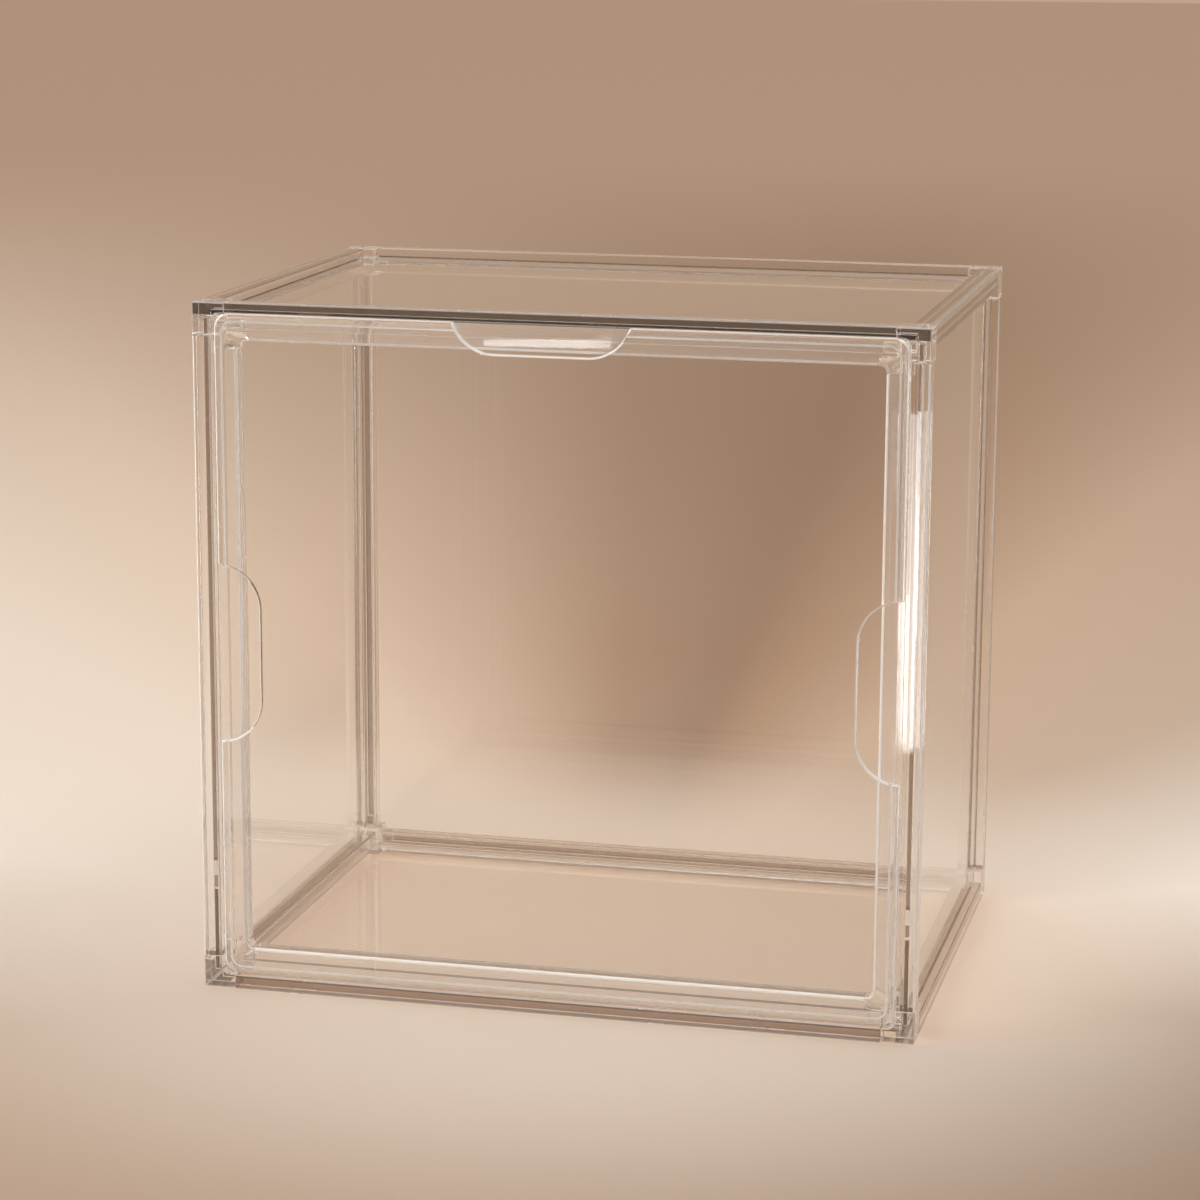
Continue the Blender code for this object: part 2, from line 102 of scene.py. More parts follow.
class PaintedFloorLight(Enum):
    """Painted light and shade of the far floor by direction: degrees from straight behind, and a colour."""

    FRONT = (-180.0, (0.47, 0.33, 0.235))
    FRONT_LEFT = (-130.0, (0.52, 0.375, 0.275))
    LEFT = (-80.0, (0.86, 0.76, 0.65))
    BACK_LEFT = (-45.0, (0.88, 0.74, 0.61))
    LEFT_HALF = (-30.0, (0.85, 0.65, 0.5))
    MIDDLE_LEFT = (-20.0, (0.64, 0.45, 0.32))
    MIDDLE = (-13.0, (0.437, 0.272, 0.173))
    MIDDLE_RIGHT = (-6.0, (0.348, 0.203, 0.118))
    RIGHT_START = (-2.0, (0.465, 0.283, 0.172))
    RIGHT_HALF = (7.0, (0.65, 0.455, 0.315))
    BACK_RIGHT = (25.0, (0.62, 0.46, 0.34))
    RIGHT = (60.0, (0.95, 0.89, 0.82))
    FRONT_RIGHT = (100.0, (0.3, 0.2, 0.14))
    FRONT_AGAIN = (180.0, (0.47, 0.33, 0.235))


class Above(Enum):
    """Colours that clear plastic shows above the horizon: the sine of the elevation, and a colour."""

    HORIZON = (0.0, (0.52, 0.37, 0.26))
    LOW_END = (0.27, (0.47, 0.33, 0.235))
    CARD = (0.34, (0.04, 0.034, 0.03))
    CARD_END = (0.5, (0.04, 0.034, 0.03))
    MIDDLE = (0.62, (0.56, 0.5, 0.45))
    OVERHEAD = (0.85, (1.0, 0.97, 0.93))


class Face(Enum):
    """Kinds of face on a moulding: each one's place among its materials."""

    CLEAR = 0
    # Painted highlight: white, mostly scattering faces on rounded edges.
    RUBBED = 1
    JOINED = 2
    # Painted shade: near-black faces in the top rails' grooves and round the top panel's corners.
    DEEP = 3
    # Dimmer painted highlight on rounded edges.
    FAINT = 4
    SHADED = 5
    # Painted sheen: a whitish cloud on the ledge's front that catches the lamps.
    CLOUDED = 6


def add(tree: NodeTree, kind: str, values: dict[str | int, object] | None = None, **settings: object) -> Node:
    """Adds a node.

    Args:
        tree: Tree that it goes into.
        kind: Kind of node.
        values: What its inputs are given: values, outputs, nodes for their first output, or a list of these.
        settings: Settings of the node itself.

    Returns:
        The node.
    """
    node = tree.nodes.new(kind)
    for setting, value in settings.items():
        setattr(node, setting, value)
    for socket, value in (values or {}).items():
        for each in value if isinstance(value, list) else [value]:
            if isinstance(each, Node):
                each = next(output for output in each.outputs if output.enabled)
            if isinstance(each, NodeSocket):
                tree.links.new(each, node.inputs[socket])
            else:
                node.inputs[socket].default_value = each
    return node


def maths(tree: NodeTree, operation: str, *values: object) -> Node:
    """Adds a node for one step of arithmetic."""
    return add(tree, "ShaderNodeMath", dict(enumerate(values)), operation=operation)


def new_tree(name: str, kind: str, takes: dict[str, str],
             gives: tuple[str, str]) -> tuple[NodeTree, NodeOutputs]:
    """Makes an empty node tree with named inputs and one named output.

    Args:
        name: Name of the tree.
        kind: Kind of tree.
        takes: Kind of each input, by name.
        gives: Name and kind of the output.

    Returns:
        The tree, and what its inputs give.
    """
    tree = bpy.data.node_groups.new(name, kind)
    for socket, form in takes.items():
        tree.interface.new_socket(socket, in_out="INPUT", socket_type="NodeSocket" + form)
    tree.interface.new_socket(gives[0], in_out="OUTPUT", socket_type="NodeSocket" + gives[1])
    return tree, tree.nodes.new("NodeGroupInput").outputs


def colour_ramp(tree: NodeTree, share: Node | NodeSocket, stops: list[tuple[float, Colour]]) -> Node:
    """Adds a colour ramp.

    Args:
        tree: Tree that it goes into.
        share: What says how far along the ramp a colour is.
        stops: Place and colour of each stop, in order.

    Returns:
        The ramp.
    """
    ramp = add(tree, "ShaderNodeValToRGB", {"Fac": share})
    elements = ramp.color_ramp.elements
    while len(elements) > 1:
        elements.remove(elements[-1])
    for index, (place, colour) in enumerate(stops):
        element = elements[0] if index == 0 else elements.new(place)
        element.position = place
        element.color = (*colour, 1.0)
    return ramp


def new_object(name: str, data: ID) -> Object:
    """Puts a new object of some data into the scene."""
    made = bpy.data.objects.new(name, data)
    bpy.context.scene.collection.objects.link(made)
    return made


@dataclass(frozen=True)
class ClearPlastic:
    """A clear plastic finish with the marks of its mould.

    Attributes:
        name: Name of the material.
        grain: How the marks of the mould are drawn out.
        streak_height: Height of the long marks of the mould.
        streak_size: Width of one long mark.
        speck_height: Height of the fine grain.
        speck_size: Size of one fine grain.
        haze: Roughness that patches of handling haze add.
        roughness: Roughness of the clean surface.
        ior: Refractive index.
        tint: Colour of the surface.
        clearness: Share of the light that the surface lets pass and doesn't scatter.
        lamp_tint: Colour that each surface gives a lamp's light on its way to the floor.
    """

    name: str
    grain: Grain = Grain.EVEN
    streak_height: float = 0.00001
    streak_size: float = 0.02
    speck_height: float = 0.0
    speck_size: float = 0.001
    haze: float = 0.02
    roughness: float = 0.02
    ior: float = 1.52
    tint: Colour = (0.99, 0.985, 0.978)
    clearness: float = 1.0
    lamp_tint: Colour = (0.955, 0.92, 0.885)

    def material(self, relief: NodeTree, smears: NodeTree) -> Material:
        """Builds the material.

        Args:
            relief: Node group that gives the relief of a moulded surface.
            smears: Node group that gives the roughness of a handled surface.

        Returns:
            The finished material.
        """
        material = bpy.data.materials.new(self.name)
        material.use_nodes = True
        tree = material.node_tree
        tree.nodes.clear()
        marks = add(tree, "ShaderNodeGroup", {
            "Stretch": self.grain.value, "Streak Height": self.streak_height, "Streak Size": self.streak_size,
            "Speck Height": self.speck_height, "Speck Size": self.speck_size}, node_tree=relief)
        bump = add(tree, "ShaderNodeBump", {"Strength": 1.0, "Distance": 1.0, "Height": marks})
        handled = add(tree, "ShaderNodeGroup", {"Clean": self.roughness, "Haze": self.haze}, node_tree=smears)
        plastic = add(tree, "ShaderNodeBsdfPrincipled", {
            "Base Color": (*self.tint, 1.0), "Metallic": 0.0, "Roughness": handled, "IOR": self.ior,
            "Transmission Weight": self.clearness, "Normal": bump})
        through = add(tree, "ShaderNodeBsdfTransparent", {"Color": (*self.lamp_tint, 1.0)})
        path = add(tree, "ShaderNodeLightPath")
        mix = add(tree, "ShaderNodeMixShader", {"Fac": path.outputs["Is Shadow Ray"], 1: plastic, 2: through})
        add(tree, "ShaderNodeOutputMaterial", {"Surface": mix})
        return material


RAIL_FINISHES = {
    run: ClearPlastic(name, Grain[run.name], streak_height=0.000004, streak_size=0.002, roughness=0.01)
    for run, name in zip(Run, ("clear_rail_across", "clear_rail_along", "clear_post"))
}
CONNECTOR_FINISH = ClearPlastic("clear_connector", streak_size=0.006, speck_height=0.000004,
                                speck_size=0.0012, roughness=0.01)
SHEET_FINISH = ClearPlastic("clear_sheet", streak_height=0.00002, streak_size=0.12, haze=0.01, roughness=0.0,
                            ior=1.49)
DOOR_FINISH = ClearPlastic("clear_door", streak_height=0.00002, streak_size=0.15, haze=0.012, roughness=0.0,
                           ior=1.49)
# All but the pressed faces paint light and shade: highlights on edges, shade in grooves, sheen on the ledge.
FACE_FINISHES = {
    Face.RUBBED: ClearPlastic("edge_painted_highlight", haze=0.1, roughness=0.25, tint=(1.0, 0.99, 0.975),
                              clearness=0.12),
    Face.JOINED: ClearPlastic("joined_face", streak_height=0.0, haze=0.0, roughness=0.0, ior=1.0),
    Face.DEEP: ClearPlastic("lip_painted_dark_shade", tint=(0.06, 0.052, 0.048)),
    Face.FAINT: ClearPlastic("edge_painted_dim_highlight", haze=0.1, roughness=0.2, tint=(0.96, 0.94, 0.92), clearness=0.65),
    Face.SHADED: ClearPlastic("shaded_groove", tint=(0.3, 0.235, 0.195), clearness=0.6),
    Face.CLOUDED: ClearPlastic("ledge_painted_sheen", haze=0.04, tint=(0.98, 0.955, 0.93), clearness=0.78),
}


@dataclass
class Workshop:
    """Makes the node groups and the materials that the pieces share.

    Attributes:
        streak_detail: Finer steps in the long marks of the mould.
        speck_detail: Finer steps in the fine grain.
        smear_scale: Number of patches of haze in a metre.
        smear_detail: Finer steps in those patches.
        smear_range: Noise at which haze starts, and at which it is full.
    """

    streak_detail: float = 2.0
    speck_detail: float = 1.0
    smear_scale: float = 22.0
    smear_detail: float = 4.0
    smear_range: tuple[float, float] = (0.52, 0.72)

    def __post_init__(self) -> None:
        """Builds the node groups once."""
        self.relief = self.moulded_relief()
        self.smears = self.handling_smears()

    def dress(self, finish: ClearPlastic) -> Material:
        """Builds the material of a finish."""
        return finish.material(self.relief, self.smears)

    def moulded_relief(self) -> NodeTree:
        """Builds the node group for the relief of a moulded clear surface.

        Returns:
            A group that turns sizes and heights into a height over the surface.
        """
        takes = {"Stretch": "Vector", "Streak Height": "Float", "Streak Size": "Float",
                 "Speck Height": "Float", "Speck Size": "Float"}
        group, given = new_tree("moulded_relief", "ShaderNodeTree", takes, ("Height", "Float"))
        place = add(group, "ShaderNodeTexCoord").outputs["Object"]
        drawn = add(group, "ShaderNodeVectorMath", {0: place, 1: given["Stretch"]}, operation="MULTIPLY")
        heights = []
        for kind, source, detail in (("Streak", drawn, self.streak_detail),
                                     ("Speck", place, self.speck_detail)):
            scale = maths(group, "DIVIDE", 1.0, given[kind + " Size"])
            noise = add(group, "ShaderNodeTexNoise", {"Vector": source, "Scale": scale, "Detail": detail})
            heights.append(maths(group, "MULTIPLY", noise, given[kind + " Height"]))
        add(group, "NodeGroupOutput", {"Height": maths(group, "ADD", *heights)})
        return group

    def handling_smears(self) -> NodeTree:
        """Builds the node group for patches of faint haze that handling leaves.

        Returns:
            A group that turns a clean roughness and a haze into a roughness over the surface.
        """
        takes = {"Clean": "Float", "Haze": "Float"}
        group, given = new_tree("handling_smears", "ShaderNodeTree", takes, ("Roughness", "Float"))
        place = add(group, "ShaderNodeTexCoord").outputs["Object"]
        noise = add(group, "ShaderNodeTexNoise", {
            "Vector": place, "Scale": self.smear_scale, "Detail": self.smear_detail})
        start, full = self.smear_range
        patches = add(group, "ShaderNodeMapRange", {"Value": noise, "From Min": start, "From Max": full},
                      interpolation_type="SMOOTHSTEP")
        added = maths(group, "MULTIPLY_ADD", patches, given["Haze"], given["Clean"])
        add(group, "NodeGroupOutput", {"Roughness": added})
        return group


@dataclass
class Moulder:
    """Turns a rough skin into a finished clear moulding.

    Attributes:
        face_materials: Materials of the faces that aren't plain clear, in the order of their kinds.
        weld_distance: Distance within which corners are one point.
        flat_degrees: Angle below which neighbouring faces are one flat.
        sharp_degrees: Angle past which an edge stays sharp, or is softened.
        flat_weight: How much the larger face decides how a shared corner is shaded.
        widest_edge: Largest radius of a softened edge.
        edge_steps: Faces across one softened edge.
    """

    face_materials: list[Material]
    weld_distance: float = 0.000005
    flat_degrees: float = 0.5
    sharp_degrees: float = 38.0
    flat_weight: int = 100
    widest_edge: float = 0.0014
    edge_steps: int = 2

    def paint_edge_highlights(self, mesh: Mesh, edge_tilt: float, kind: Face) -> None:
        """Gives the faces of the rounded edges a painted highlight, or the kind given.

        Args:
            mesh: The finished mesh.
            edge_tilt: Largest part of a normal on a rounded edge.
            kind: Kind of those faces.
        """
        for face in mesh.polygons:
            largest = max(abs(part) for part in face.normal)
            if face.material_index == Face.CLEAR.value and largest < edge_tilt:
                face.material_index = kind.value

    def soften(self, skin: BMesh, edge_radius: float) -> None:
        """Sets how far each sharp edge is softened, with none round pressed faces.

        Args:
            skin: The rough skin. Edges in its layer "radius" have that radius of their own.
            edge_radius: Radius of the other edges.
        """
        weights = skin.edges.layers.float.new("bevel_weight_edge")
        own = skin.edges.layers.float.get("radius")
        for edge in skin.edges:
            sharp = edge.is_manifold and edge.calc_face_angle() > math.radians(self.sharp_degrees)
            pressed = any(face.material_index == Face.JOINED.value for face in edge.link_faces)
            radius = edge[own] if own and edge[own] else edge_radius
            edge[weights] = radius / self.widest_edge if sharp and not pressed else 0.0

    def copied_skin(self, node: Object) -> BMesh:
        """Copies a frame piece as one closed skin with whole flats.

        Args:
            node: The frame's piece.

        Returns:
            The skin.
        """
        skin = bmesh.new()
        skin.from_mesh(node.data)
        bmesh.ops.remove_doubles(skin, verts=skin.verts, dist=self.weld_distance)
        bmesh.ops.dissolve_limit(skin, angle_limit=math.radians(self.flat_degrees), verts=skin.verts,
                                 edges=skin.edges)
        return skin

    def settle(self, skin: BMesh, name: str, material: Material, edge_radius: float = 0.0,
               edge_tilt: float = 0.93, edge_kind: Face = Face.RUBBED) -> Object:
        """Makes the finished piece: softened edges, true flats and its material.

        Args:
            skin: The rough skin, which is used up.
            name: Name of the piece.
            material: Its material.
            edge_radius: Radius of its softened edges, or zero for none.
            edge_tilt: Largest part of a normal on a rounded edge.
            edge_kind: Kind of the faces of its rounded edges.

        Returns:
            The piece, at the origin, with its place in its mesh.
        """
        if edge_radius:
            self.soften(skin, edge_radius)
        mesh = bpy.data.meshes.new(name)
        skin.to_mesh(mesh)
        skin.free()
        for each in (material, *self.face_materials):
            mesh.materials.append(each)
        piece = new_object(name, mesh)
        mesh.shade_smooth()
        if edge_radius:
            rounding = piece.modifiers.new("softened edges", "BEVEL")
            rounding.width = self.widest_edge
            rounding.segments = self.edge_steps
            rounding.limit_method = "WEIGHT"
        else:
            mesh.set_sharp_from_angle(angle=math.radians(self.sharp_degrees))
        flats = piece.modifiers.new("true flats", "WEIGHTED_NORMAL")
        flats.mode = "FACE_AREA"
        flats.weight = self.flat_weight
        flats.keep_sharp = not edge_radius
        result = plain_mesh(piece)
        piece.modifiers.clear()
        piece.data = result
        bpy.data.meshes.remove(mesh)
        result.name = name
        self.paint_edge_highlights(result, edge_tilt, edge_kind)
        log.info("%s: %d faces", name, len(result.polygons))
        return piece


def plain_mesh(piece: Object) -> Mesh:
    """Takes the evaluated shape of a piece as a plain mesh."""
    graph = bpy.context.evaluated_depsgraph_get()
    return bpy.data.meshes.new_from_object(piece.evaluated_get(graph))


def looks_along(face: BMFace, axis: int) -> bool:
    """Tells whether a face looks along an axis."""
    return abs(face.normal[axis]) > FLAT_PART


def present(piece: Object, body: str, node: str) -> None:
    """Attaches a finished piece to its body and hides the frame piece that it stands for.

    Args:
        piece: The piece.
        body: Body that it rides on.
        node: Frame piece that it stands for.
    """
    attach(piece, body)
    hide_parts(node)


@dataclass(frozen=True)
class BarSection:
    """The section that the moulded bars share, as corners (across, deep, fillet) from the box's outer edge.

    Attributes:
        section: Outer size of a bar.
        lip_wall: Thickness of the outer lip.
        groove_inner: Distance of a groove's inner wall.
        groove_floor: Distance of a groove's floor.
        lip_reach: Distance that the outer lip reaches.
        rebate_depth: Depth of the rebate that takes the door.
        outer_fillet: Radius of the outer edge.
        rim_fillet: Radius of the outer edge above and below the door.
        lip_fillet: Radius of the lips' edges.
        inner_fillet: Radius of the edges towards the inside.
        ledge_fillet: Radius of the ledge's front edge.
        groove_fillet: Radius of the corners in a groove.
        side_ledge: Reach of the front posts' ledges.
        level_ledges: Reach of the front rails' ledges, bottom and top.
    """

    section: float = 0.014
    lip_wall: float = 0.0039
    groove_inner: float = 0.0063
    groove_floor: float = 0.0075
    lip_reach: float = 0.01
    rebate_depth: float = 0.005
    outer_fillet: float = 0.001
    rim_fillet: float = 0.0005
    lip_fillet: float = 0.0005
    inner_fillet: float = 0.0006
    ledge_fillet: float = 0.0014
    groove_fillet: float = 0.00012
    side_ledge: float = 0.0202
    level_ledges: tuple[float, float] = (0.0194, 0.018)

    def groove_side(self, reach: float) -> list[Place]:
        """Gives the corners from the inner body's far edge, along its groove, to the outer lip."""
        return [(reach, self.section, self.inner_fillet),
                (self.groove_inner, self.section, self.inner_fillet),
                (self.groove_inner, self.groove_floor, self.groove_fillet),
                (self.lip_wall, self.groove_floor, self.groove_fillet),
                (self.lip_wall, self.lip_reach, self.groove_fillet), (0.0, self.lip_reach, self.lip_fillet)]

    def between_sheets(self) -> list[Place]:
        """Gives the section of a bar between two sheets."""
        return [(0.0, 0.0, self.outer_fillet), (self.lip_reach, 0.0, self.lip_fillet),
                (self.lip_reach, self.lip_wall, self.lip_fillet),
                (self.groove_floor, self.lip_wall, self.groove_fillet),
                (self.groove_floor, self.groove_inner, self.groove_fillet),
                (self.section, self.groove_inner, self.inner_fillet)] + self.groove_side(self.section)

    def beside_door(self, face: float, ledge: float, fillet: float) -> list[Place]:
        """Gives the section of a bar beside the door, from its face's width and its ledge's reach."""
        return [(0.0, 0.0, fillet), (face, 0.0, self.lip_fillet),
                (face, self.rebate_depth, self.groove_fillet),
                (ledge, self.rebate_depth, self.ledge_fillet)] + self.groove_side(ledge)


@dataclass(frozen=True)
class Bar:
    """One rail or post.

    Attributes:
        name: Frame piece that it stands for.
        run: The way that it runs.
        sides: The two outer faces of the box that meet at its edge, each as an axis and a side.
        corners: Corners of its section.
        stops: Distances from the box's outer faces at which its ledge stops, or none without a ledge.
    """

    name: str
    run: Run
    sides: tuple[Side, Side]
    corners: list[Place]
    stops: tuple[float, float] | None = None


@dataclass
class Assembly:
    """What every sub-assembly of the box works with.

    Attributes:
        low: Lowest corner of the box.
        high: Highest corner of the box.
        moulder: What finishes the skins.
        nodes: The frame's pieces.
        part: Section of the bars and of the ledge behind the door.
        reading: Distance within which a face counts as being at a given place.
    """

    low: Vector
    high: Vector
    moulder: Moulder
    nodes: dict[str, Object]
    part: BarSection = BarSection()
    reading: float = 0.0001

    def is_at(self, distance: float, place: float) -> bool:
        """Tells whether a distance is that of a given place."""
        return abs(distance - place) < self.reading


@dataclass
class Bars(Assembly):
    """The twelve moulded rails and posts, one along each edge of the box.

    Attributes:
        end: Distance from the box's outer face at which a bar ends.
        bore_side: Side of the square bore for the pegs.
        bore_middle: Distance of the bore's middle.
        fillet_steps: Faces across one rounded edge.
        side_face: Width of the front posts' front faces.
        level_faces: Width of the front rails' front faces, bottom and top.
        ledge_stop: Length of a ledge corner, with its gap, past the crossing ledge.
        cut_side: Side of the block that cuts a ledge back, in widths of a bar.
        cut_middle: Distance of that block's middle, in widths of a bar.
        weld_distance: Distance within which a drawn bar's corners are one point.
        room: Distance within which a face counts as belonging to a groove.
        edge_tilt: Largest part of a normal on a rounded edge.
    """

    end: float = 0.0158
    bore_side: float = 0.0052
    bore_middle: float = 0.01015
    fillet_steps: int = 5
    side_face: float = 0.009
    level_faces: tuple[float, float] = (0.0068, 0.0048)
    ledge_stop: float = 0.0037
    cut_side: float = 4.0
    cut_middle: float = 3.0
    weld_distance: float = 0.000002
    room: float = 0.0004
    edge_tilt: float = 0.992

    def build(self, materials: dict[Run, Material]) -> None:
        """Builds every bar.

        Args:
            materials: The material for each way of running.
        """
        tree = self.bar_tree()
        for bar in self.all_bars():
            self.mould(bar, tree, materials[bar.run])

    def all_bars(self) -> list[Bar]:
        """Lists the bars.

        Returns:
            The rails, and then the posts.
        """
        part = self.part
        between = part.between_sheets()
        bars = []
        for level, upper in (("bottom", 0), ("top", 1)):
            face = (2, 2 * upper - 1)
            front = part.beside_door(self.level_faces[upper], part.level_ledges[upper], part.rim_fillet)
            stop = part.side_ledge + self.ledge_stop
            bars += [Bar("rail_front_" + level, Run.WIDTH, (face, (1, -1)), front, (stop, stop)),
                     Bar("rail_back_" + level, Run.WIDTH, (face, (1, 1)), between),
                     Bar("rail_left_" + level, Run.DEPTH, (face, (0, -1)), between),
                     Bar("rail_right_" + level, Run.DEPTH, (face, (0, 1)), between)]
        for word, side in (("left", -1), ("right", 1)):
            front = part.beside_door(self.side_face, part.side_ledge, part.outer_fillet)
            stops = (part.level_ledges[0] + self.ledge_stop, part.level_ledges[1] + self.ledge_stop)
            bars += [Bar("post_front_" + word, Run.HEIGHT, ((0, side), (1, -1)), front, stops),
                     Bar("post_back_" + word, Run.HEIGHT, ((0, side), (1, 1)), between)]
        return bars

    def mould(self, bar: Bar, tree: NodeTree, material: Material) -> None:
        """Builds one bar along its edge of the box.

        Args:
            bar: The bar.
            tree: Geometry nodes that draw a section out into a bar.
            material: Its material.
        """
        drawn = self.drawn_bar(bar, tree, material)
        skin = bmesh.new()
        skin.from_mesh(drawn)
        bpy.data.meshes.remove(drawn)
        for vert in skin.verts:
            place = Vector()
            for (axis, side), distance in zip(bar.sides, vert.co):
                place[axis] = self.low[axis] + distance if side < 0 else self.high[axis] - distance
            place[bar.run.value] = self.low[bar.run.value] + self.end + vert.co.z
            vert.co = place
        bmesh.ops.remove_doubles(skin, verts=skin.verts, dist=self.moulder.weld_distance)
        bmesh.ops.recalc_face_normals(skin, faces=skin.faces)
        for face in skin.faces:
            face.material_index = self.kind_of(face, bar).value
        # Rounded edges of the front bars and the posts get the dimmer painted highlight.
        kind = Face.FAINT if bar.stops or bar.run is Run.HEIGHT else Face.CLEAR
        piece = self.moulder.settle(skin, bar.name + "_bar", material, edge_tilt=self.edge_tilt,
                                    edge_kind=kind)
        present(piece, "frame", bar.name)

    def drawn_bar(self, bar: Bar, tree: NodeTree, material: Material) -> Mesh:
        """Draws a bar's section out to its full length, upwards from the origin.

        Args:
            bar: The bar.
            tree: Geometry nodes that draw a section out into a bar.
            material: Its material.

        Returns:
            The mesh.
        """
        mesh = bpy.data.meshes.new("section")
        count = len(bar.corners)
        mesh.from_pydata([(a, b, 0.0) for a, b, _ in bar.corners],
                         [(i, (i + 1) % count) for i in range(count)], [])
        fillets = mesh.attributes.new("fillet", "FLOAT", "POINT")
        fillets.data.foreach_set("value", [corner[2] for corner in bar.corners])
        rough = new_object("section", mesh)
        axis = bar.run.value
        values = {"Length": self.high[axis] - self.low[axis] - 2 * self.end, "Bore Side": self.bore_side,
                  "Bore Middle": self.bore_middle, "Fillet Steps": self.fillet_steps,
                  "Has Ledge": bar.stops is not None, "Ledge Start": self.part.section, "Material": material}
        for cut, stop in zip(("Low Cut", "High Cut"), bar.stops or ()):
            values[cut] = stop - self.end
        drawing = rough.modifiers.new("drawn bar", "NODES")
        drawing.node_group = tree
        for item in tree.interface.items_tree:
            if item.in_out == "INPUT" and item.name in values:
                drawing[item.identifier] = values[item.name]
        drawn = plain_mesh(rough)
        bpy.data.objects.remove(rough)
        bpy.data.meshes.remove(mesh)
        return drawn

    def kind_of(self, face: BMFace, bar: Bar) -> Face:
        """Gives the kind of a bar's face.

        Args:
            face: The face.
            bar: The bar.

        Returns:
            Joined for faces pressed on a ledge corner, and otherwise as its place in the section gives.
        """
        middle = face.calc_center_median()
        axis = bar.run.value
        part = self.part
        far = [abs(middle[a] - (self.low[a] if side < 0 else self.high[a])) for a, side in bar.sides]
        if bar.stops:
            ends = (middle[axis] - self.low[axis], self.high[axis] - middle[axis])
            is_end = any(self.is_at(end, stop) for end, stop in zip(ends, bar.stops))
            is_side = part.rebate_depth < far[1] < part.section and self.is_at(far[0], part.section)
            if is_end and looks_along(face, axis) or is_side and looks_along(face, bar.sides[0][0]):
                return Face.JOINED
            return self.front_kind(bar, far)
        # Outer edge: painted shade on the back posts, the dimmer painted highlight on the other bars.
        if max(far) < part.outer_fillet:
            return Face.SHADED if bar.run is Run.HEIGHT else Face.FAINT
        # Groove floors and lips: near-black painted shade in the top rails, brown painted shade in the
        # others.
        for deep, other in (far, far[::-1]):
            is_floor = self.is_at(deep, part.groove_floor) and part.lip_wall < other < part.groove_inner
            is_lip = self.is_at(other, part.lip_wall) and part.groove_floor < deep < part.lip_reach
            if is_floor or is_lip:
                return Face.DEEP if bar.sides[0] == (2, 1) else Face.SHADED
        return Face.CLEAR

    def front_kind(self, bar: Bar, far: list[float]) -> Face:
        """Gives the kind of a face of a bar beside the door.

        Args:
            bar: The bar.
            far: Distances of the face's middle from the bar's side of the box and behind the box's front.

        Returns:
            Painted highlight on edges, painted sheen on the ledge's front and painted shade in a groove.
        """
        across, deep = far
        part = self.part
        is_post = bar.run is Run.HEIGHT
        side = bar.sides[0][1]
        ledge = part.side_ledge if is_post else part.level_ledges[(side + 1) // 2]
        # Painted highlight on the ledge's rounded edge, and painted sheen on its front.
        if 0 < ledge - across < part.ledge_fillet and 0 < deep - part.rebate_depth < part.ledge_fillet:
            return Face.RUBBED
        if self.is_at(deep, part.rebate_depth):
            return Face.CLOUDED
        # Painted highlight on a post's outer edge.
        if is_post:
            return Face.RUBBED if max(far) < part.outer_fillet else Face.CLEAR
        # Painted shade in the groove: near-black at the top, brown at the bottom.
        is_deep = part.groove_floor - self.room < deep < part.lip_reach + self.room
        if is_deep and self.room < across < part.groove_inner + self.room:
            return Face.DEEP if side > 0 else Face.SHADED
        return Face.CLEAR

    def bar_tree(self) -> NodeTree:
        """Builds the geometry nodes that draw a section out into a hollow bar.

        Returns:
            The tree, with named inputs.
        """
        takes = {"Section": "Geometry", "Length": "Float", "Bore Side": "Float", "Bore Middle": "Float",
                 "Fillet Steps": "Int", "Has Ledge": "Bool", "Ledge Start": "Float", "Low Cut": "Float",
                 "High Cut": "Float", "Material": "Material"}
        tree, given = new_tree("hollow_bar", "GeometryNodeTree", takes, ("Bar", "Geometry"))
        bar = self.ledge_cut(tree, given, self.drawn_solid(tree, given))
        whole = add(tree, "GeometryNodeRealizeInstances", {"Geometry": bar})
        dressed = add(tree, "GeometryNodeSetMaterial", {"Geometry": whole, "Material": given["Material"]})
        add(tree, "NodeGroupOutput", {"Bar": dressed})
        return tree

    def drawn_solid(self, tree: NodeTree, given: NodeOutputs) -> Node:
        """Adds the nodes that fill the rounded section round its bore and draw it out.

        Args:
            tree: The tree.
            given: What its inputs give.

        Returns:
            The node that gives the closed solid.
        """
        outline = add(tree, "GeometryNodeMeshToCurve", {"Mesh": given["Section"]})
        fillet = add(tree, "GeometryNodeInputNamedAttribute", {"Name": "fillet"}, data_type="FLOAT")
        rounded = add(tree, "GeometryNodeFilletCurve", {
            "Curve": outline, "Radius": fillet, "Count": given["Fillet Steps"]}, mode="POLY")
        bore = add(tree, "GeometryNodeCurvePrimitiveQuadrilateral", {
            "Width": given["Bore Side"], "Height": given["Bore Side"]})
        middle = add(tree, "ShaderNodeCombineXYZ", {"X": given["Bore Middle"], "Y": given["Bore Middle"]})
        placed = add(tree, "GeometryNodeTransform", {"Geometry": bore, "Translation": middle})
        both = add(tree, "GeometryNodeJoinGeometry", {"Geometry": [rounded, placed]})
        filled = add(tree, "GeometryNodeFillCurve", {"Curve": both}, mode="NGONS")
        upward = add(tree, "ShaderNodeCombineXYZ", {"Z": given["Length"]})
        drawn = add(tree, "GeometryNodeExtrudeMesh", {
            "Mesh": filled, "Offset": upward, "Individual": False}, mode="FACES")
        turned = add(tree, "GeometryNodeFlipFaces", {"Mesh": filled})
        closed = add(tree, "GeometryNodeJoinGeometry", {"Geometry": [drawn, turned]})
        return add(tree, "GeometryNodeMergeByDistance", {"Geometry": closed, "Distance": self.weld_distance})

